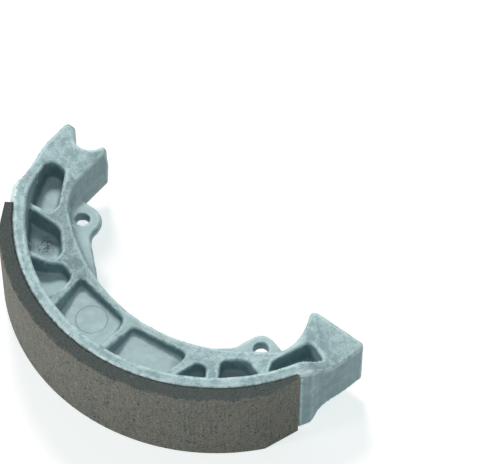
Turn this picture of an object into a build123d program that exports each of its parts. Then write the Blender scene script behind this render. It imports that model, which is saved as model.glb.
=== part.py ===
"""Cast aluminium brake shoe with a bonded friction lining, for a 110 mm drum.

Origin on the drum axis, halfway across the shoe's width. +Z runs along the drum axis.
+X points from the anchor end to the cam end, and the shoe fills the -Y half.
Lengths are in millimetres. Angles are in degrees, counter-clockwise from +X.
"""
from build123d import *
from math import asin, atan2, cos, degrees, radians, sin, sqrt
import os

# Friction lining
drum_radius = 55.0
lining_thickness = 3.75
lining_anchor_angle = -144.4
lining_cam_angle = -28.1
lining_taper_angle = 10.0
lining_anchor_end_thickness = 2.1
lining_cam_end_thickness = 1.3

# Rim that carries the lining
shoe_width = 25.0
rim_thickness = 3.2
rim_draft = 2.0
anchor_ramp_foot_angle = -161.8
anchor_ramp_length = 10.0
anchor_ramp_blend_radius = 8.0
cam_ramp_foot_angle = -18.8
cam_ramp_length = 5.2
cam_ramp_blend_radius = 6.0
ramp_run_out = 2.0
lining_stop_height = 0.95
lining_stop_gap_angle = 0.4
anchor_stop_angle = 5.5
cam_stop_angle = 4.0
cam_stop_slope_angle = 2.6
stop_blend_radius = 2.5

# End blocks
block_thickness = 15.0
block_draft = 4.0
anchor_outer_x = -50.0
anchor_inner_x = -35.8
anchor_top_y = 0.3
anchor_shoulder_y = -8.5
anchor_side_end_angle = -156.5
anchor_side_inset = 0.5
anchor_side_bulge = 0.35
block_corner_radius = 1.1
notch_radius = 4.5
notch_x = -42.6
notch_y = 0.9
pad_y = -4.5
pad_inner_x = 34.0
pad_lip = 0.9
pad_blend_radius = 4.0
cam_hollow_x = 36.6
cam_hollow_drop = 6.8

# Inner flange, whose faces are dished between the two blocks
flange_middle_thickness = 6.6
flange_inner_y = -31.9
flange_middle_x = 0.5
flange_arc_radius = 49.0
anchor_flank_run = 4.0
cam_flank_run = 10.9
dish_half_length = 38.0
dish_blend_radius = 12.0

# Web, ribs and pockets between the flange and the rim
web_thickness = 2.8
rib_foot_radius = 36.5
rib_rim_height = 7.2
pocket_draft = 5.0
pocket_floor_chamfer = 0.6
rim_foot_fillet = 1.6

# Spring ears
ear_thickness = 3.4
ear_draft = 20.0
ear_root_radius = 2.0
ear_root_facets = 3
spring_hole_diameter = 3.7
anchor_hole_x = -29.95
anchor_hole_y = -17.45
cam_hole_x = 29.65
cam_hole_y = -18.8

# How far cutters run past what they cut, and how much is left on to be trimmed
cutter_reach = 2.0
trim_allowance = 0.1

# Worked out from the sizes above
rim_outer_radius = drum_radius - lining_thickness
rim_inner_radius = rim_outer_radius - rim_thickness
half_width = shoe_width / 2
half_block = block_thickness / 2
half_web = web_thickness / 2
half_flange = flange_middle_thickness / 2

# Corners of each pocket at its floor, counter-clockwise: x, y and corner radius.
# The side towards the rim runs past it, because the rim's own wall closes the pocket there.
pockets = {
    "anchor_block": [(-46.9, -18, 1.0), (-45.4, -24.9, 1.0), (-35.8, -23.4, 0.9), (-35.2, -21.2, 1.6),
                     (-40.9, -11.6, 2.2), (-44.7, -11.5, 2.0)],
    "anchor_triangle": [(-42.5, -33, 1.0), (-36.6, -36.6, 1.0), (-26.4, -33.3, 1.1),
                        (-25.8, -30.4, 2.2), (-30.7, -25.3, 3.4), (-43.8, -27.2, 1.0)],
    "anchor_round": [(-20.6, -47, 1.0), (-19.1, -38, 3.0), (-19.6, -33.4, 2.4), (-23.2, -32.6, 1.8),
                     (-26.7, -35.4, 2.5), (-33.8, -38.7, 1.0)],
    "anchor_window": [(-16.3, -41, 1.0), (-14.5, -50, 1.0), (-0.7, -50, 1.0), (-0.7, -38, 2.5),
                      (-1.9, -34.3, 1.9), (-17.6, -32.2, 1.1)],
    "cam_window": [(2.2, -50, 1.0), (15.4, -50, 1.0), (17.4, -37.5, 3.0), (17.4, -32.6, 1.6),
                   (1.6, -34.8, 1.0)],
    "cam_triangle": [(19.2, -47.5, 1.0), (29, -41.5, 1.0), (23.7, -33.2, 1.3), (20.9, -33.4, 1.2)],
    "cam_round": [(32.6, -39.5, 1.0), (38.6, -28.6, 1.0), (30.4, -25.9, 2.6), (25.7, -29.4, 1.5)],
    "cam_block": [(36.6, -22.4, 1.2), (37.5, -24.9, 1.0), (42.8, -26.8, 1.0), (48.5, -20, 1.0),
                  (46.6, -15.2, 1.0), (40.4, -12.8, 1.3)],
}

# Corners of the two ears in the same form, counted from their holes and running back into the flange
anchor_ear = [(-5.05, -1.0, 0.8), (-0.15, -5.8, 0.8), (7.35, -10.4, 0.8), (14.65, -13.4, 0.8),
              (15.95, -12.1, 0.8), (4.8, -2.3, 4.0), (5.35, 5.0, 4.8), (-7.05, 5.0, 0.8)]
cam_ear = [(7.6, 2.5, 0.8), (-2.9, 5.2, 3.9), (-5.8, -3.6, 3.0), (-12.65, -10.0, 0.8),
           (-11.45, -11.4, 0.8), (-3.15, -7.2, 0.8), (2.95, -3.8, 0.8), (7.3, -0.5, 0.8)]


def polar(radius, angle):
    """Plan point at a radius from the drum axis."""
    return (radius * cos(radians(angle)), radius * sin(radians(angle)))


def body_outline():
    """Plan outline of the whole shoe before the space on its inner side is cut away."""
    stop_radius = rim_outer_radius + lining_stop_height
    anchor_stop = lining_anchor_angle - lining_stop_gap_angle
    anchor_stop_end = anchor_stop - anchor_stop_angle
    cam_stop = lining_cam_angle + lining_stop_gap_angle
    cam_stop_end = cam_stop + cam_stop_angle
    cam_foot = cam_stop_end + cam_stop_slope_angle
    pad_angle = degrees(asin(pad_y / rim_outer_radius))
    pad_corner = polar(rim_outer_radius, pad_angle)
    shoulder = (anchor_outer_x, anchor_shoulder_y)
    anchor_foot = polar(rim_outer_radius - anchor_side_inset, anchor_side_end_angle)
    anchor_side = (SagittaArc(shoulder, anchor_foot, -anchor_side_bulge)
                   + Line(anchor_foot, polar(stop_radius, anchor_stop_end))
                   + arc_about_axis(stop_radius, anchor_stop_end, anchor_stop)
                   + Line(polar(stop_radius, anchor_stop), polar(rim_outer_radius, anchor_stop)))
    seat = arc_about_axis(rim_outer_radius, anchor_stop, cam_stop)
    cam_side = (Line(polar(rim_outer_radius, cam_stop), polar(stop_radius, cam_stop))
                + arc_about_axis(stop_radius, cam_stop, cam_stop_end)
                + Line(polar(stop_radius, cam_stop_end), polar(rim_outer_radius, cam_foot))
                + arc_about_axis(rim_outer_radius, cam_foot, pad_angle))
    top = Polyline(pad_corner, (0, pad_y), (0, anchor_top_y), (anchor_outer_x, anchor_top_y), shoulder)
    face = make_face(anchor_side + seat + cam_side + top)
    face = fillet(corners_near(face, (anchor_outer_x, anchor_top_y), pad_corner), block_corner_radius)
    return fillet(corners_near(face, polar(stop_radius, anchor_stop_end),
                               polar(stop_radius, cam_stop_end), polar(rim_outer_radius, cam_foot)),
                  stop_blend_radius)


def corners_near(face, *points):
    """The face's own corner at each of some points."""
    return [face.vertices().sort_by_distance(point)[0] for point in points]


def arc_about_axis(radius, first_angle, last_angle):
    """Arc about the drum axis between two angles."""
    middle = (first_angle + last_angle) / 2
    return ThreePointArc(polar(radius, first_angle), polar(radius, middle), polar(radius, last_angle))


def inner_corners():
    """Corners and radii of the inner side's outline, where its straight runs would meet."""
    reach = drum_radius / 2
    hollow_y = pad_y - cam_hollow_drop
    anchor_angle = flank_angle(flange_middle_x - anchor_inner_x - anchor_flank_run)
    cam_angle = flank_angle(cam_hollow_x - cam_flank_run - flange_middle_x)
    tilt = (anchor_angle - cam_angle) / 2
    depth = flange_arc_radius / cos(radians((anchor_angle + cam_angle) / 2))
    x = flange_middle_x - depth * sin(radians(tilt))
    y = flange_inner_y + flange_arc_radius - depth * cos(radians(tilt))
    anchor_y = y + (x - anchor_inner_x) * tan_deg(anchor_angle)
    cam_y = y + (cam_hollow_x - x) * tan_deg(cam_angle)
    pad_slant = degrees(atan2(cam_hollow_x - pad_inner_x, cam_hollow_drop - pad_lip))
    flank = anchor_flank_run / cos(radians(anchor_angle))
    return [(anchor_inner_x, reach, rim_thickness),
            (anchor_inner_x, anchor_y, filling_radius(0.95 * flank, 90 - anchor_angle)),
            (x, y, flange_arc_radius),
            (cam_hollow_x, cam_y, filling_radius(0.49 * (hollow_y - cam_y), 90 - cam_angle)),
            (cam_hollow_x, hollow_y, filling_radius(0.49 * (hollow_y - cam_y), pad_slant)),
            (pad_inner_x, pad_y - pad_lip, pad_blend_radius),
            (pad_inner_x, reach, rim_thickness)]


def flank_angle(run):
    """Slope of the flange's arc at a distance along X from its middle."""
    return degrees(asin(run / flange_arc_radius))


def filling_radius(length, turn):
    """Radius of the rounding that takes up a length of each run at a corner of some turn."""
    return length / tan_deg(turn / 2)


def grown_outline(corners, growth):
    """Closed outline with every side moved outwards and every corner still rounded."""
    points = []
    radii = []
    for before, corner, after in zip(corners[-1:] + corners[:-1], corners, corners[1:] + corners[:1]):
        run_in = (Vector(corner[:2]) - Vector(before[:2])).normalized()
        run_out = (Vector(after[:2]) - Vector(corner[:2])).normalized()
        out_in = Vector(run_in.Y, -run_in.X)
        out_out = Vector(run_out.Y, -run_out.X)
        shift = (out_in + out_out) * (growth / (1 + out_in.dot(out_out)))
        points.append(Vector(corner[:2]) + shift)
        turns_left = run_in.cross(run_out).Z > 0
        radii.append(corner[2] + growth if turns_left else corner[2] - growth)
    return make_face(FilletPolyline(*points, radius=radii, close=True))


def drafted(corners, *levels):
    """Solid through one outline at several levels, each given as height and growth outwards."""
    return loft([Pos(0, 0, height) * grown_outline(corners, growth) for height, growth in levels],
                ruled=True)


def inner_space():
    """Space on the shoe's inner side, opening out from the middle towards both faces."""
    height = half_width + cutter_reach
    return drafted(inner_corners(), (0, 0), (height, height * tan_deg(block_draft)))


def blank_plan():
    """Upper half of the shoe's plan shape at full width, with its two inner corners rounded."""
    body = extrude(body_outline(), half_width + 1) - inner_space()
    inner = [edge for edge in body.edges()
             for x, y in ((anchor_inner_x, anchor_top_y), (pad_inner_x, pad_y))
             if abs(edge.center().X - x) < 1.5 and abs(edge.center().Y - y) < 0.1
             and edge.length > half_width]
    return fillet(inner, block_corner_radius)


def dish():
    """Upper half of the prism that dishes the flange and gives the blocks their thickness."""
    reach = drum_radius + cutter_reach
    crease = dish_half_length
    profile = make_face(Line((-reach, half_block), (-crease, half_block))
                        + ThreePointArc((-crease, half_block), (0, half_flange), (crease, half_block))
                        + Polyline((crease, half_block), (reach, half_block), (reach, 0),
                                   (-reach, 0), (-reach, half_block)))
    creases = profile.vertices().filter_by(lambda corner: abs(abs(corner.X) - crease) < 0.01)
    return extrude(Plane.XZ * fillet(creases, dish_blend_radius), reach, both=True)


def rib_ring():
    """Upper half of a ring that slopes up from the flange to the rim: all rib crests lie on it."""
    outer = rim_inner_radius + rim_thickness / 2
    half = Polyline((rib_foot_radius, 0), (rib_foot_radius, half_flange),
                    (rim_inner_radius, rib_rim_height), (outer, rib_rim_height), (outer, 0), close=True)
    return revolve(Plane.XZ * make_face(half), Axis.Z)


def bowl(floor_height, floor_fillet):
    """Space inside the rim's drafted wall, above a floor."""
    base_radius = rim_inner_radius - tan_deg(rim_draft) * (half_width - floor_height)
    top = half_width + cutter_reach
    top_radius = rim_inner_radius + tan_deg(rim_draft) * cutter_reach
    profile = make_face(Polyline((0, floor_height), (base_radius, floor_height),
                                 (top_radius, top), (0, top), close=True))
    if floor_fillet > 0:
        corner = profile.vertices().sort_by_distance((base_radius, floor_height))[0]
        profile = fillet(corner, floor_fillet)
    return revolve(Plane.XZ * profile, Axis.Z)


def tan_deg(angle):
    """Tangent of an angle in degrees."""
    return sin(radians(angle)) / cos(radians(angle))


def ramp_cutter(foot_angle, length, blend_radius, towards_cam):
    """Cutter that ramps the rim's edge down to the block's thickness."""
    reach = drum_radius / 2
    path = FilletPolyline((reach, half_block), (0, half_block), (-length, half_width),
                          (-reach, half_width), radius=blend_radius)
    roof = Polyline((-reach, half_width), (-reach, shoe_width), (reach, shoe_width),
                    (reach, half_block))
    side = make_face(path + roof)
    if not towards_cam:
        side = mirror(side, Plane.YZ)
    section = Plane(origin=(*polar(rim_outer_radius, foot_angle), 0),
                    x_dir=(*polar(1, foot_angle + 90), 0), z_dir=(*polar(1, foot_angle), 0))
    return extrude(section * side, rim_thickness * 4, both=True)


def rim_ring():
    """Upper half of the rim, ramped down at both ends and left thick outside for trimming."""
    base_radius = rim_inner_radius - tan_deg(rim_draft) * half_width
    edge_radius = rim_outer_radius + trim_allowance
    half = make_face(Polyline((base_radius, 0), (rim_inner_radius, half_width),
                              (edge_radius, half_width), (drum_radius, half_width - drum_radius + edge_radius),
                              (drum_radius, 0), close=True))
    first = anchor_ramp_foot_angle - ramp_run_out
    last = cam_ramp_foot_angle + ramp_run_out
    ring = Rot(0, 0, first) * revolve(Plane.XZ * half, Axis.Z, last - first)
    ring -= ramp_cutter(cam_ramp_foot_angle, cam_ramp_length, cam_ramp_blend_radius, True)
    return ring - ramp_cutter(anchor_ramp_foot_angle, anchor_ramp_length, anchor_ramp_blend_radius,
                              False)


def pocket_core(corners):
    """Core that leaves one pocket in the upper face, with the edge of its floor broken."""
    wall = half_web + pocket_floor_chamfer
    return drafted(corners, (half_web, -pocket_floor_chamfer), (wall, 0),
                   (wall + half_width, half_width * tan_deg(pocket_draft)))


def ear(corners, hole_x, hole_y):
    """Upper half of a spring ear, with a rounded root where it meets the wall behind it."""
    top = ear_thickness / 2
    growth = -top * tan_deg(ear_draft)
    slab = Pos(hole_x, hole_y) * drafted(corners, (0, 0), (top, growth))
    root = Pos(hole_x, hole_y) * drafted(corners, (0, growth), (top + ear_root_radius, growth))
    return slab + (root - root_clearance(top))


def root_clearance(top):
    """The inner space drawn in by the rounding of an ear's root, from the ear's face upwards."""
    levels = [(-cutter_reach, -ear_root_radius)]
    for step in range(ear_root_facets + 1):
        turn = radians(90 * step / ear_root_facets)
        height = top + ear_root_radius * (1 - cos(turn))
        levels.append((height, height * tan_deg(block_draft) - ear_root_radius * (1 - sin(turn))))
    height, growth = levels.pop()
    levels.append((height + trim_allowance, growth + trim_allowance))
    levels.append((height + cutter_reach, growth + cutter_reach))
    return drafted(inner_corners(), *levels)


def shoe_casting():
    """The whole die casting: rim, web, ribs, flange, blocks and ears in one piece."""
    upper = blank_plan() & (dish() + rib_ring() + rim_ring())
    space = bowl(half_web, rim_foot_fillet)
    for corners in pockets.values():
        upper -= pocket_core(corners) & space
    upper -= Pos(notch_x, notch_y) * Cylinder(notch_radius, shoe_width * 2)
    for corners, x, y in ((anchor_ear, anchor_hole_x, anchor_hole_y),
                          (cam_ear, cam_hole_x, cam_hole_y)):
        upper += ear(corners, x, y)
        upper -= Pos(x, y) * Cylinder(spring_hole_diameter / 2, shoe_width)
    return upper + mirror(upper, Plane.XY)


def friction_lining():
    """Moulded lining, tapered on its outer face towards both ends."""
    inner_anchor = polar(rim_outer_radius, lining_anchor_angle)
    inner_cam = polar(rim_outer_radius, lining_cam_angle)
    outer_anchor = polar(rim_outer_radius + lining_anchor_end_thickness, lining_anchor_angle)
    outer_cam = polar(rim_outer_radius + lining_cam_end_thickness, lining_cam_angle)
    full_anchor = polar(drum_radius, lining_anchor_angle + lining_taper_angle)
    full_cam = polar(drum_radius, lining_cam_angle - lining_taper_angle)
    outline = (ThreePointArc(inner_anchor, (0, -rim_outer_radius), inner_cam)
               + Polyline(inner_cam, outer_cam, full_cam)
               + ThreePointArc(full_cam, (0, -drum_radius), full_anchor)
               + Polyline(full_anchor, outer_anchor, inner_anchor))
    return extrude(make_face(outline), half_width, both=True)


os.makedirs("parts", exist_ok=True)
export_step(shoe_casting(), "parts/shoe_casting.step")
export_step(friction_lining(), "parts/friction_lining.step")
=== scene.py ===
from math import cos, radians, sin

import bpy
from mathutils import Matrix, Vector

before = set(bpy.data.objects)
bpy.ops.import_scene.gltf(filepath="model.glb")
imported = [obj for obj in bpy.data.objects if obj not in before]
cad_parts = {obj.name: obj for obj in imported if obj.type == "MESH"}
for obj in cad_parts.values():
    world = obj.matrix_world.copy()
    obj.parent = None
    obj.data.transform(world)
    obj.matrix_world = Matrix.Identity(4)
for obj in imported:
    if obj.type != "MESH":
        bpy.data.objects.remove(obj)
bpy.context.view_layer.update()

MM = 0.001

# Camera, set to stand where the photo's did. The point it looks at is in its own plan axes.
IMAGE_WIDTH = 480
FOCAL_PIXELS = 3143.8
SENSOR_WIDTH = 36.0
CAMERA_DISTANCE = 0.8
CAMERA_AZIMUTH = 39.0
CAMERA_ELEVATION = 56.11
CAMERA_ROLL = 0.2
CAMERA_REACH = 20.0
LOOK_AT_PLAN = (5.88 * MM, 2.63 * MM)

# The floor just under the shoe, with linear colours for the light it bounces and for what is seen
FLOOR_Z = -12.6 * MM
FLOOR_SIZE = 4.0
FLOOR_COLOUR = (0.78, 0.80, 0.80, 1.0)
FLOOR_SEEN_COLOUR = (0.60, 0.48, 0.48, 1.0)
FLOOR_SEEN_GLOW = (0.68, 0.745, 0.745, 1.0)
FLOOR_ROUGHNESS = 0.95

# Room light: strong at the horizon and the zenith, fading between these elevations in degrees
WHITE = (1.0, 1.0, 1.0, 1.0)
ROOM_COLOUR = (0.94, 1.0, 1.0, 1.0)
ROOM_STRENGTH = 0.05
HORIZON_STRENGTH = 1.02
HORIZON_ELEVATIONS = (10, 30)
ZENITH_STRENGTH = 0.28
ZENITH_ELEVATIONS = (45, 75)

# Lamps: one behind the shoe and a weaker one at its left, with azimuths from the camera's plan axes
LAMP_SIZE = 0.5
LAMP_DISTANCE = 2.4
KEY_LAMP = {"power": 26.5, "azimuth": 99.0, "elevation": 48.0}
FILL_LAMP = {"power": 15.0, "azimuth": 200.0, "elevation": 22.0}

# Softness of the cast edges
CAST_VOXEL = 0.42 * MM
CAST_SMOOTH_FACTOR = 0.5
CAST_SMOOTH_STEPS = 4
CAST_WAVE_SIZE = 3.0 * MM
CAST_WAVE_DEPTH = 0.16 * MM

# Sizes of the shoe that the finishes follow
RIM_INNER_RADIUS = 47.5 * MM
RIM_RADIUS = 51.25 * MM
LINING_RADIUS = 55.0 * MM
SIDE_HEIGHT = 12.5 * MM
LINING_ANCHOR_ANGLE = radians(-144.4)
LINING_CAM_ANGLE = radians(-28.1)

# Marks in the casting's skin: x, y and radius, then how wide they are or how softly they end
EJECTOR_RING = (-8.5 * MM, -38.8 * MM, 4.0 * MM)
BLOCK_RING = (-46.0 * MM, -6.8 * MM, 2.6 * MM)
PAD_CENTRE = (-31.9 * MM, -29.6 * MM)
EJECTOR_PAD = (*PAD_CENTRE, 3.0 * MM)
TORN_PATCH = (*PAD_CENTRE, 1.2 * MM)
# Spot of painted highlight on the notch's walls round the anchor pin
NOTCH_HIGHLIGHT_SPOT = (-42.6 * MM, 0.9 * MM, 4.8 * MM)
RING_LINE = 0.35 * MM
RING_STRENGTH = 0.6
BLOCK_RING_LINE = 0.4 * MM
BLOCK_RING_STRENGTH = 0.3
PAD_FADE = 0.9 * MM
TORN_FADE = 1.8 * MM
# Fade of the notch's painted highlight
NOTCH_HIGHLIGHT_FADE = 0.4 * MM

# Noise values lie about this middle
NOISE_MIDDLE = 0.5

# Noises of the casting's skin, from broad to fine
PATCHES = {"size": 4.5 * MM, "detail": 5, "roughness": 0.6, "distortion": 0.8}
MOTTLE = {"size": 1.6 * MM, "detail": 4, "roughness": 0.65, "distortion": 0.4}
CURLS = {"size": 1.5 * MM, "detail": 1, "distortion": 1.5}
DRAG = {"size": 0.6 * MM, "detail": 3, "roughness": 0.6}
FLECKS = {"size": 0.5 * MM, "detail": 3, "roughness": 0.7}

# Noises of the lining, from broad to fine. A speck's radius is a share of its cell.
BLOTCHES = {"size": 4.0 * MM, "detail": 4, "roughness": 0.6}
SPECKS = {"size": 0.9 * MM, "share": 0.03, "radius": 0.16}
PITS = {"size": 0.8 * MM, "detail": 3, "roughness": 0.6, "distortion": 0.5}
GRAIN = {"size": 0.45 * MM, "detail": 4, "roughness": 0.75}
STREAKS = {"size": 0.45 * MM, "detail": 3, "roughness": 0.7}

# Along a streak, coordinates are scaled by this
STREAK_SCALE = 0.12

# Limits that tell level skin from steep, pocket floor from rib, and the rim's sides from the rest
LEVEL_FACING = (0.6, 0.9)
POCKET_TO_RIB = (2.6 * MM, 4.2 * MM)
RIM_INNER_FADE = 0.6 * MM
RIM_FACE_MARGINS = (1.0 * MM, 0.6 * MM)
SIDE_FACING = 0.7

# Pocket floors past these angles and radii, towards the cam end, get painted shade
SHADED_FLOOR_ANGLES = (radians(-68.0), radians(-64.0))
SHADED_FLOOR_RADII = (37.5 * MM, 38.5 * MM)

# Tones of the metal: share of the fine noise, and swing of the noise between dark and pale
PATCHES_SHARE = 0.5
SCUFF_SHARE = 0.8
FINE_LIMITS = (0.4, 0.6)
FINE_SHARES = (0.12, 0.45)
WALL_FINE_SHARE = 0.6
SWING_BELOW = 0.12
SWING_ON_TOP = 0.06

# Limits of pointiness and noise between which a coat of the metal fades in
# Convex edges: wear with a painted highlight
EDGE_HIGHLIGHT_POINTINESS = (0.504, 0.519)
EDGE_HIGHLIGHT_LIMITS = (0.30, 0.55)
# Crevices: painted shade
CREVICE_SHADE_POINTINESS = (0.49, 0.43)
# Rim's outer top edge: painted glint along a ragged line
RIM_GLINT_MARGINS = (0.35 * MM, 0.15 * MM)
RIM_GLINT_WANDER = 3.0 * MM
# Ejector pad: mottle limits and strengths of its painted shade
PAD_LIMITS = (0.35, 0.60)
PAD_SHADES = (0.50, 0.15)
CURL_WIDTH = 0.07
TORN_LIMITS = (0.40, 0.48)

# Shares and limits of the lining's tones, chips and glue line
STREAK_SHARE = 0.25
FACE_LIMITS = (0.41, 0.59)
BROWN_LIMITS = (0.38, 0.66)
PIT_LIMITS = (0.62, 0.66)
SIDE_LIMITS = (0.38, 0.64)
DUST_LIMITS = (0.4, 0.7)
RAGGED_BLOTCHES = 0.3
RAGGED_WANDER = 2.4 * MM
CHIP_BLOTCHES = 0.6
CHIP_LIMITS = (0.45, 0.53)
CHIP_MARGINS = (0.5 * MM, 0.2 * MM)
GLUE_FADE = (0.15 * MM, 0.40 * MM)

# Ground colours from dark to pale, as display values
METAL_TONES = ((128, 154, 157), (177, 201, 202))
FACE_TONES = ((87, 89, 83), (154, 156, 147))
SIDE_TONES = ((74, 83, 82), (104, 113, 111))

# Coats over the metal: display colour and strength
# Colour of the ejector rings, also used for painted shade on pocket floors and on the ejector pad
MARK_AND_SHADE_COLOUR = (104, 124, 128)
# Pocket floors painted paler
PALER_POCKET_FLOOR = ((190, 212, 213), 0.5)
# Painted shade on the cam end's pocket floors
CAM_POCKET_SHADE = (MARK_AND_SHADE_COLOUR, 0.7)
# Painted shade on steep walls
WALL_SHADE = ((108, 140, 150), 0.36)
# Convex edges: wear with a painted highlight
WORN_EDGE_HIGHLIGHT = ((200, 225, 226), 0.75)
# Painted shade in crevices
CREVICE_SHADE = ((104, 124, 130), 0.5)
# Painted highlight in the notch
NOTCH_HIGHLIGHT = ((206, 228, 228), 0.5)
# Painted glint round the rim's outer top edge
RIM_GLINT = ((226, 242, 242), 0.85)
# Ejector rings, and painted shade on the ejector pad
DIE_MARK_AND_SHADE = (MARK_AND_SHADE_COLOUR, 1.0)
TORN_SKIN = ((66, 84, 89), 0.9)

# Coats over the lining
BROWN = ((142, 136, 124), 0.5)
PIT = ((62, 62, 58), 0.8)
DUST = ((100, 104, 100), 0.4)
CHIP = ((156, 145, 132), 0.5)
GLUE = ((38, 42, 41), 0.7)
SPECK = ((206, 206, 196), 1.0)

# Gloss
METALLIC = 0.25
CAST_ROUGHNESS_LIMITS = (0.3, 0.7)
CAST_ROUGHNESS = (0.52, 0.66)
LINING_ROUGHNESS = 0.8
LINING_SPECULAR = 0.2

# Relief of the skin: depth and strength. Grooves and pits have a negative depth.
PATCH_RELIEF = (0.20 * MM, 0.5)
MOTTLE_RELIEF = (0.10 * MM, 0.6)
FINE_RELIEF = (0.03 * MM, 0.6)
FINE_RELIEF_BELOW = 0.4
RING_RELIEF = (-0.06 * MM, 1.0)
PAD_RELIEF = (0.16 * MM, 0.8)
GRAIN_RELIEF = (0.12 * MM, 0.7)
PIT_RELIEF = (-0.15 * MM, 0.7)


def rgb(red, green, blue):
    """Linear colour from display values between 0 and 255."""
    def linear(value):
        value /= 255
        return value / 12.92 if value <= 0.04045 else ((value + 0.055) / 1.055) ** 2.4
    return (linear(red), linear(green), linear(blue), 1.0)


class Nodes:
    """Short way to add and link the nodes of one tree."""

    def __init__(self, tree):
        self.tree = tree
        self.coordinates = self.add("ShaderNodeTexCoord").outputs
        self.place = self.coordinates["Object"]

    def add(self, kind, **settings):
        node = self.tree.nodes.new(kind)
        for name, value in settings.items():
            setattr(node, name, value)
        return node

    def link(self, source, target):
        self.tree.links.new(source, target)

    def put(self, socket, value):
        """Sets a socket to a number or colour, or links it to another socket."""
        if isinstance(value, bpy.types.NodeSocket):
            self.link(value, socket)
        else:
            socket.default_value = value

    def math(self, operation, first, second=0.0):
        """One value from two, or from the first alone."""
        node = self.add("ShaderNodeMath", operation=operation)
        self.put(node.inputs[0], first)
        self.put(node.inputs[1], second)
        return node.outputs[0]

    def times(self, first, second):
        return self.math("MULTIPLY", first, second)

    def absolute(self, value):
        return self.math("ABSOLUTE", value)

    def inverse(self, share):
        """What is left of 1."""
        return self.math("SUBTRACT", 1.0, share)

    def swing(self, noise):
        """How far a noise is above or below its middle."""
        return self.math("SUBTRACT", noise, NOISE_MIDDLE)

    def remap(self, value, low, high, to_low=0.0, to_high=1.0):
        node = self.add("ShaderNodeMapRange")
        self.put(node.inputs["Value"], value)
        for name, number in (("From Min", low), ("From Max", high),
                             ("To Min", to_low), ("To Max", to_high)):
            self.put(node.inputs[name], number)
        return node.outputs["Result"]

    def reaches(self, value, edge, margins):
        """0 up to the first margin below an edge, rising to 1 at the second margin below it."""
        far, near = margins
        return self.remap(value, edge - far, edge - near)

    def blend(self, first, second, share):
        """Two values mixed, with the second one's share."""
        node = self.add("ShaderNodeMix", data_type="FLOAT")
        self.put(node.inputs[0], share)
        self.put(node.inputs[2], first)
        self.put(node.inputs[3], second)
        return node.outputs[0]

    def mix(self, share, first, second):
        """Two colours mixed, with the second one's share."""
        node = self.add("ShaderNodeMix", data_type="RGBA")
        self.put(node.inputs[0], share)
        self.put(node.inputs[6], first)
        self.put(node.inputs[7], second)
        return node.outputs[2]

    def ground(self, tone, tones):
        """Colour between a dark and a pale one, by a tone from 0 to 1."""
        dark, pale = tones
        return self.mix(tone, rgb(*dark), rgb(*pale))

    def coat(self, under, mask, coat):
        """A colour with a coat laid over it where the mask is 1."""
        colour, strength = coat
        return self.mix(self.times(mask, strength), under, rgb(*colour))

    def height_of(self, vector):
        """Z of a vector."""
        split = self.add("ShaderNodeSeparateXYZ")
        self.link(vector, split.inputs[0])
        return split.outputs["Z"]

    def distance_to(self, x, y):
        """Distance in plan from a point, whatever the height."""
        flat = self.add("ShaderNodeVectorMath", operation="MULTIPLY")
        self.link(self.place, flat.inputs[0])
        flat.inputs[1].default_value = (1, 1, 0)
        node = self.add("ShaderNodeVectorMath", operation="DISTANCE")
        self.link(flat.outputs[0], node.inputs[0])
        node.inputs[1].default_value = (x, y, 0)
        return node.outputs["Value"]

    def angle(self):
        """Angle round the drum axis, counter-clockwise from +X."""
        split = self.add("ShaderNodeSeparateXYZ")
        self.link(self.place, split.inputs[0])
        return self.math("ARCTAN2", split.outputs["Y"], split.outputs["X"])

    def streaks_along_arc(self):
        """Coordinates unrolled round the drum axis, in which a noise is drawn out along the arc."""
        joined = self.add("ShaderNodeCombineXYZ")
        self.link(self.times(self.angle(), RIM_RADIUS * STREAK_SCALE), joined.inputs["X"])
        self.link(self.distance_to(0, 0), joined.inputs["Y"])
        self.link(self.height_of(self.place), joined.inputs["Z"])
        return joined.outputs["Vector"]

    def streaks_along_height(self):
        """Coordinates in which a noise is drawn out along Z."""
        node = self.add("ShaderNodeMapping")
        self.link(self.place, node.inputs["Vector"])
        node.inputs["Scale"].default_value = (1, 1, STREAK_SCALE)
        return node.outputs["Vector"]

    def noise(self, size, detail, roughness=0.55, distortion=0.0, place=None):
        """Noise whose lumps are about size metres across."""
        node = self.add("ShaderNodeTexNoise")
        self.link(place or self.place, node.inputs["Vector"])
        node.inputs["Scale"].default_value = 1 / size
        node.inputs["Detail"].default_value = detail
        node.inputs["Roughness"].default_value = roughness
        node.inputs["Distortion"].default_value = distortion
        return node.outputs["Fac"]

    def contours(self, noise, width):
        """1 along the line where a noise passes its middle, falling to 0 beside it."""
        return self.remap(self.absolute(self.swing(noise)), 0.0, width, 1.0, 0.0)

    def disc(self, x, y, radius, fade):
        """1 inside a circle in plan, falling to 0 just outside it."""
        return self.remap(self.distance_to(x, y), radius, radius + fade, 1.0, 0.0)

    def ring(self, x, y, radius, width):
        """1 on a circle in plan, falling to 0 half a width away from it."""
        away = self.absolute(self.math("SUBTRACT", self.distance_to(x, y), radius))
        return self.remap(away, 0.0, width / 2, 1.0, 0.0)

    def specks(self, size, share, radius):
        """1 on small round specks in a share of cells that are size metres across."""
        cells = self.add("ShaderNodeTexVoronoi")
        self.link(self.place, cells.inputs["Vector"])
        cells.inputs["Scale"].default_value = 1 / size
        chance = self.add("ShaderNodeSeparateColor")
        self.link(cells.outputs["Color"], chance.inputs[0])
        chosen = self.math("LESS_THAN", chance.outputs[0], share)
        return self.times(chosen, self.math("LESS_THAN", cells.outputs["Distance"], radius))

    def bump(self, height, distance, strength, below=None):
        node = self.add("ShaderNodeBump")
        node.inputs["Strength"].default_value = strength
        node.inputs["Distance"].default_value = distance
        self.link(height, node.inputs["Height"])
        if below is not None:
            self.link(below, node.inputs["Normal"])
        return node.outputs["Normal"]

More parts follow.
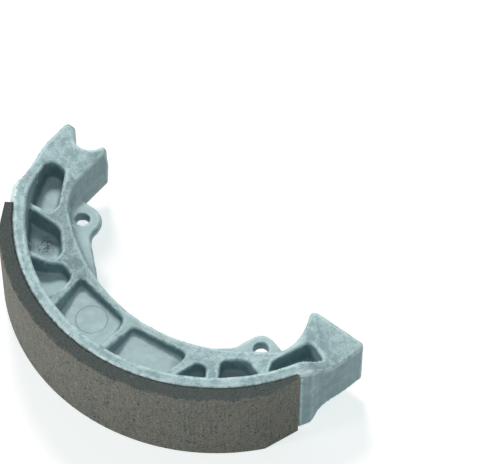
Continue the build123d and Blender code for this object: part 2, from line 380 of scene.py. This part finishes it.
    def seen(self):
        """1 for rays that show a background: from the camera, a reflection or through glass."""
        rays = self.add("ShaderNodeLightPath").outputs
        direct = self.math("MAXIMUM", rays["Is Camera Ray"], rays["Is Glossy Ray"])
        return self.math("MAXIMUM", direct, rays["Is Transmission Ray"])


class Finish(Nodes):
    """Nodes of a new material, with its shader's sockets by name."""

    def __init__(self, name):
        self.material = bpy.data.materials.new(name)
        self.material.use_nodes = True
        super().__init__(self.material.node_tree)
        self.sockets = self.tree.nodes["Principled BSDF"].inputs

    def set(self, socket, value):
        self.put(self.sockets[socket], value)

    def raise_skin(self, *layers):
        """Stacks bumps on the shader's normal. Each layer is a height and its relief."""
        normal = None
        for height, relief in layers:
            normal = self.bump(height, *relief, normal)
        self.set("Normal", normal)


class CastAluminium(Finish):
    """Die-cast skin: pale blue-grey, smooth in the pockets, mottled and scuffed on top."""

    def __init__(self):
        super().__init__("cast_aluminium")
        self.patches = self.noise(**PATCHES)
        self.mottle = self.noise(**MOTTLE)
        self.flecks = self.noise(**FLECKS)
        self.radius = self.distance_to(0, 0)

        height = self.absolute(self.height_of(self.place))
        high = self.remap(height, *POCKET_TO_RIB)
        facing = self.absolute(self.height_of(self.coordinates["Normal"]))
        self.level = self.remap(facing, *LEVEL_FACING)
        self.on_top = self.times(self.level, high)
        self.on_floor = self.times(self.level, self.inverse(high))
        outside = self.remap(self.radius, RIM_INNER_RADIUS, RIM_INNER_RADIUS + RIM_INNER_FADE)
        self.on_rim = self.times(outside, self.reaches(height, SIDE_HEIGHT, RIM_FACE_MARGINS))

        scuffs = self.noise(**FLECKS, place=self.streaks_along_arc())
        drag = self.noise(**DRAG, place=self.streaks_along_height())
        fine = self.blend(self.flecks, scuffs, self.times(self.on_rim, SCUFF_SHARE))
        self.fine = self.blend(drag, fine, self.level)

    def metal(self):
        """Mottled metal, paler on pocket floors, with painted shade on the cam end's floors and on walls.
        """
        share = self.remap(self.patches, *FINE_LIMITS, *FINE_SHARES)
        share = self.times(share, self.remap(self.level, 0.0, 1.0, WALL_FINE_SHARE, 1.0))
        broad = self.blend(self.patches, self.mottle, PATCHES_SHARE)
        tone = self.blend(broad, self.fine, share)
        swing = self.remap(self.on_top, 0.0, 1.0, SWING_BELOW, SWING_ON_TOP)
        tone = self.remap(tone, self.math("SUBTRACT", NOISE_MIDDLE, swing),
                          self.math("ADD", NOISE_MIDDLE, swing))
        colour = self.ground(tone, METAL_TONES)
        # Pocket floors painted paler
        colour = self.coat(colour, self.on_floor, PALER_POCKET_FLOOR)
        # Painted shade on the cam end's pocket floors
        shaded_floor = self.times(self.on_floor, self.remap(self.angle(), *SHADED_FLOOR_ANGLES))
        shaded_floor = self.times(shaded_floor, self.remap(self.radius, *SHADED_FLOOR_RADII))
        colour = self.coat(colour, shaded_floor, CAM_POCKET_SHADE)
        # Painted shade on steep walls
        return self.coat(colour, self.inverse(self.level), WALL_SHADE)

    def wear_and_painted_light(self, colour):
        """Worn edges with a painted highlight, painted shade in crevices, a painted highlight in the
        notch and a painted glint round the rim.
        """
        edge = self.add("ShaderNodeNewGeometry").outputs["Pointiness"]
        # Convex edges lighter: wear with a painted highlight
        edge_highlight = self.times(self.remap(edge, *EDGE_HIGHLIGHT_POINTINESS), self.remap(self.mottle, *EDGE_HIGHLIGHT_LIMITS))
        colour = self.coat(colour, edge_highlight, WORN_EDGE_HIGHLIGHT)
        # Painted shade in crevices
        colour = self.coat(colour, self.remap(edge, *CREVICE_SHADE_POINTINESS), CREVICE_SHADE)
        # Painted highlight in the notch
        colour = self.coat(colour, self.disc(*NOTCH_HIGHLIGHT_SPOT, NOTCH_HIGHLIGHT_FADE), NOTCH_HIGHLIGHT)
        # Painted glint along a ragged line round the rim's outer top edge
        ragged_radius = self.math("ADD", self.radius, self.times(self.swing(self.mottle), RIM_GLINT_WANDER))
        rim_glint = self.times(self.on_rim, self.reaches(ragged_radius, RIM_RADIUS, RIM_GLINT_MARGINS))
        return self.coat(colour, rim_glint, RIM_GLINT)

    def rings(self):
        """Fine lines that the ejector pins leave."""
        line = self.times(self.ring(*EJECTOR_RING, RING_LINE), RING_STRENGTH)
        faint_line = self.times(self.ring(*BLOCK_RING, BLOCK_RING_LINE), BLOCK_RING_STRENGTH)
        return self.math("ADD", line, faint_line)

    def torn(self):
        """Short curls of torn skin in the middle of the rough pad."""
        curls = self.contours(self.noise(**CURLS), CURL_WIDTH)
        torn = self.times(curls, self.remap(self.flecks, *TORN_LIMITS))
        return self.times(torn, self.disc(*TORN_PATCH, TORN_FADE))

    def finish(self):
        """Paints and raises the whole skin."""
        rings = self.rings()
        pad = self.disc(*EJECTOR_PAD, PAD_FADE)
        torn = self.torn()
        # Mask of painted shade over the ejector pad
        shade = self.times(pad, self.remap(self.mottle, *PAD_LIMITS, *PAD_SHADES))
        colour = self.wear_and_painted_light(self.metal())
        colour = self.coat(colour, rings, DIE_MARK_AND_SHADE)
        # Painted shade over the ejector pad, in the colour of the rings
        colour = self.coat(colour, shade, DIE_MARK_AND_SHADE)
        self.set("Base Color", self.coat(colour, torn, TORN_SKIN))
        self.set("Metallic", METALLIC)
        self.set("Roughness", self.remap(self.mottle, *CAST_ROUGHNESS_LIMITS, *CAST_ROUGHNESS))
        fine = self.times(self.fine, self.remap(self.on_top, 0.0, 1.0, FINE_RELIEF_BELOW, 1.0))
        rough = self.math("SUBTRACT", self.times(self.flecks, pad), torn)
        self.raise_skin((self.patches, PATCH_RELIEF), (self.mottle, MOTTLE_RELIEF),
                        (fine, FINE_RELIEF), (rings, RING_RELIEF), (rough, PAD_RELIEF))
        return self.material


class FrictionCompound(Finish):
    """Moulded lining: smooth dark sides, and a paler ground face with pits and specks."""

    def __init__(self):
        super().__init__("friction_compound")
        self.grain = self.noise(**GRAIN)
        self.blotches = self.noise(**BLOTCHES)
        streaks = self.noise(**STREAKS, place=self.streaks_along_height())
        self.tone = self.blend(self.grain, streaks, STREAK_SHARE)
        self.pits = self.remap(self.noise(**PITS), *PIT_LIMITS)
        ragged = self.swing(self.blend(self.grain, self.blotches, RAGGED_BLOTCHES))
        ragged = self.times(ragged, RAGGED_WANDER)
        self.radius = self.math("ADD", self.distance_to(0, 0), ragged)
        self.height = self.math("ADD", self.absolute(self.height_of(self.place)), ragged)

    def compound(self):
        """Ground outer face and moulded sides."""
        face = self.ground(self.remap(self.tone, *FACE_LIMITS), FACE_TONES)
        face = self.coat(face, self.remap(self.blotches, *BROWN_LIMITS), BROWN)
        face = self.coat(face, self.pits, PIT)
        side = self.ground(self.remap(self.grain, *SIDE_LIMITS), SIDE_TONES)
        side = self.coat(side, self.remap(self.blotches, *DUST_LIMITS), DUST)
        facing = self.absolute(self.height_of(self.coordinates["Normal"]))
        return self.mix(self.math("GREATER_THAN", facing, SIDE_FACING), face, side)

    def chips(self):
        """Chips out of the outer corners and of both ends."""
        corner = self.times(self.reaches(self.radius, LINING_RADIUS, CHIP_MARGINS),
                            self.reaches(self.height, SIDE_HEIGHT, CHIP_MARGINS))
        middle = (LINING_ANCHOR_ANGLE + LINING_CAM_ANGLE) / 2
        half_span = (LINING_CAM_ANGLE - LINING_ANCHOR_ANGLE) / 2
        from_middle = self.absolute(self.math("SUBTRACT", self.angle(), middle))
        end = self.reaches(from_middle, half_span, [margin / LINING_RADIUS for margin in CHIP_MARGINS])
        chipped = self.remap(self.blend(self.grain, self.blotches, CHIP_BLOTCHES), *CHIP_LIMITS)
        return self.times(self.math("MAXIMUM", corner, end), chipped)

    def finish(self):
        """Paints and raises the whole lining."""
        glue_start, glue_end = GLUE_FADE
        glue = self.remap(self.radius, RIM_RADIUS + glue_start, RIM_RADIUS + glue_end, 1.0, 0.0)
        colour = self.coat(self.compound(), self.chips(), CHIP)
        colour = self.coat(colour, glue, GLUE)
        self.set("Base Color", self.coat(colour, self.specks(**SPECKS), SPECK))
        self.set("Roughness", LINING_ROUGHNESS)
        self.set("Specular IOR Level", LINING_SPECULAR)
        self.raise_skin((self.tone, GRAIN_RELIEF), (self.pits, PIT_RELIEF))
        return self.material


def soften(node):
    """Rounds the casting's edges and makes its skin slightly uneven, as the die leaves it."""
    remesh = node.modifiers.new("soft_edges", "REMESH")
    remesh.mode = "VOXEL"
    remesh.voxel_size = CAST_VOXEL
    remesh.use_smooth_shade = True
    smooth = node.modifiers.new("smooth", "SMOOTH")
    smooth.factor = CAST_SMOOTH_FACTOR
    smooth.iterations = CAST_SMOOTH_STEPS
    waves = bpy.data.textures.new("cast_waves", "CLOUDS")
    waves.noise_scale = CAST_WAVE_SIZE
    uneven = node.modifiers.new("uneven_skin", "DISPLACE")
    uneven.texture = waves
    uneven.strength = CAST_WAVE_DEPTH


def dress(node, material):
    """Gives a CAD node its finish."""
    node.data.materials.clear()
    node.data.materials.append(material)


def plan_to_row(x, y):
    """Row coordinates of a point given in the camera's own plan axes."""
    angle = radians(CAMERA_AZIMUTH)
    return (x * cos(angle) - y * sin(angle), x * sin(angle) + y * cos(angle))


def place_camera():
    """Camera at the photo's angle, aimed so that the shoe falls where the photo shows it."""
    azimuth = radians(CAMERA_AZIMUTH)
    elevation = radians(CAMERA_ELEVATION)
    target = Vector((*plan_to_row(*LOOK_AT_PLAN), 0))
    back = Vector((sin(azimuth) * cos(elevation), -cos(azimuth) * cos(elevation), sin(elevation)))
    data = bpy.data.cameras.new("camera")
    data.sensor_fit = "HORIZONTAL"
    data.sensor_width = SENSOR_WIDTH
    data.lens = FOCAL_PIXELS / IMAGE_WIDTH * SENSOR_WIDTH
    data.clip_end = CAMERA_REACH
    camera = bpy.data.objects.new("camera", data)
    bpy.context.scene.collection.objects.link(camera)
    turn = back.to_track_quat("Z", "Y").to_matrix().to_4x4()
    camera.matrix_world = (Matrix.Translation(target + back * CAMERA_DISTANCE) @ turn
                           @ Matrix.Rotation(radians(CAMERA_ROLL), 4, "Z"))
    bpy.context.scene.camera = camera


def lay_floor():
    """Plain pale floor that bounces light as pale board does and shows as white."""
    bpy.ops.mesh.primitive_plane_add(size=FLOOR_SIZE, location=(0, 0, FLOOR_Z))
    floor = bpy.context.object
    floor.name = "floor"
    n = Finish("floor_pale")
    seen = n.seen()
    n.set("Base Color", n.mix(seen, FLOOR_COLOUR, FLOOR_SEEN_COLOUR))
    n.set("Roughness", FLOOR_ROUGHNESS)
    n.set("Specular IOR Level", 0.0)
    n.set("Emission Color", FLOOR_SEEN_GLOW)
    n.set("Emission Strength", seen)
    floor.data.materials.append(n.material)


def disc_light(name, power, azimuth, elevation):
    """Round lamp aimed at the shoe."""
    data = bpy.data.lights.new(name, "AREA")
    data.shape = "DISK"
    data.size = LAMP_SIZE
    data.energy = power
    light = bpy.data.objects.new(name, data)
    bpy.context.scene.collection.objects.link(light)
    flat = cos(radians(elevation)) * LAMP_DISTANCE
    plan = plan_to_row(cos(radians(azimuth)) * flat, sin(radians(azimuth)) * flat)
    light.location = (*plan, sin(radians(elevation)) * LAMP_DISTANCE)
    light.rotation_euler = light.location.to_track_quat("Z", "Y").to_euler()


def light_room():
    """Room that shows white, and lights from the zenith and from low down, as a light tent does."""
    world = bpy.data.worlds.new("room")
    world.use_nodes = True
    n = Nodes(world.node_tree)
    height = n.height_of(n.coordinates["Generated"])
    low_limits = [sin(radians(elevation)) for elevation in HORIZON_ELEVATIONS]
    high_limits = [sin(radians(elevation)) for elevation in ZENITH_ELEVATIONS]
    low = n.remap(height, *low_limits, HORIZON_STRENGTH, ROOM_STRENGTH)
    high = n.remap(height, *high_limits, 0.0, ZENITH_STRENGTH)
    seen = n.seen()
    background = world.node_tree.nodes["Background"]
    n.put(background.inputs["Color"], n.mix(seen, ROOM_COLOUR, WHITE))
    n.put(background.inputs["Strength"], n.blend(n.math("ADD", low, high), 1.0, seen))
    bpy.context.scene.world = world


dress(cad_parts["shoe_casting"], CastAluminium().finish())
dress(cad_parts["friction_lining"], FrictionCompound().finish())
soften(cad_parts["shoe_casting"])
place_camera()
lay_floor()
light_room()
disc_light("key", **KEY_LAMP)
disc_light("fill", **FILL_LAMP)
bpy.context.scene.view_settings.view_transform = "Standard"
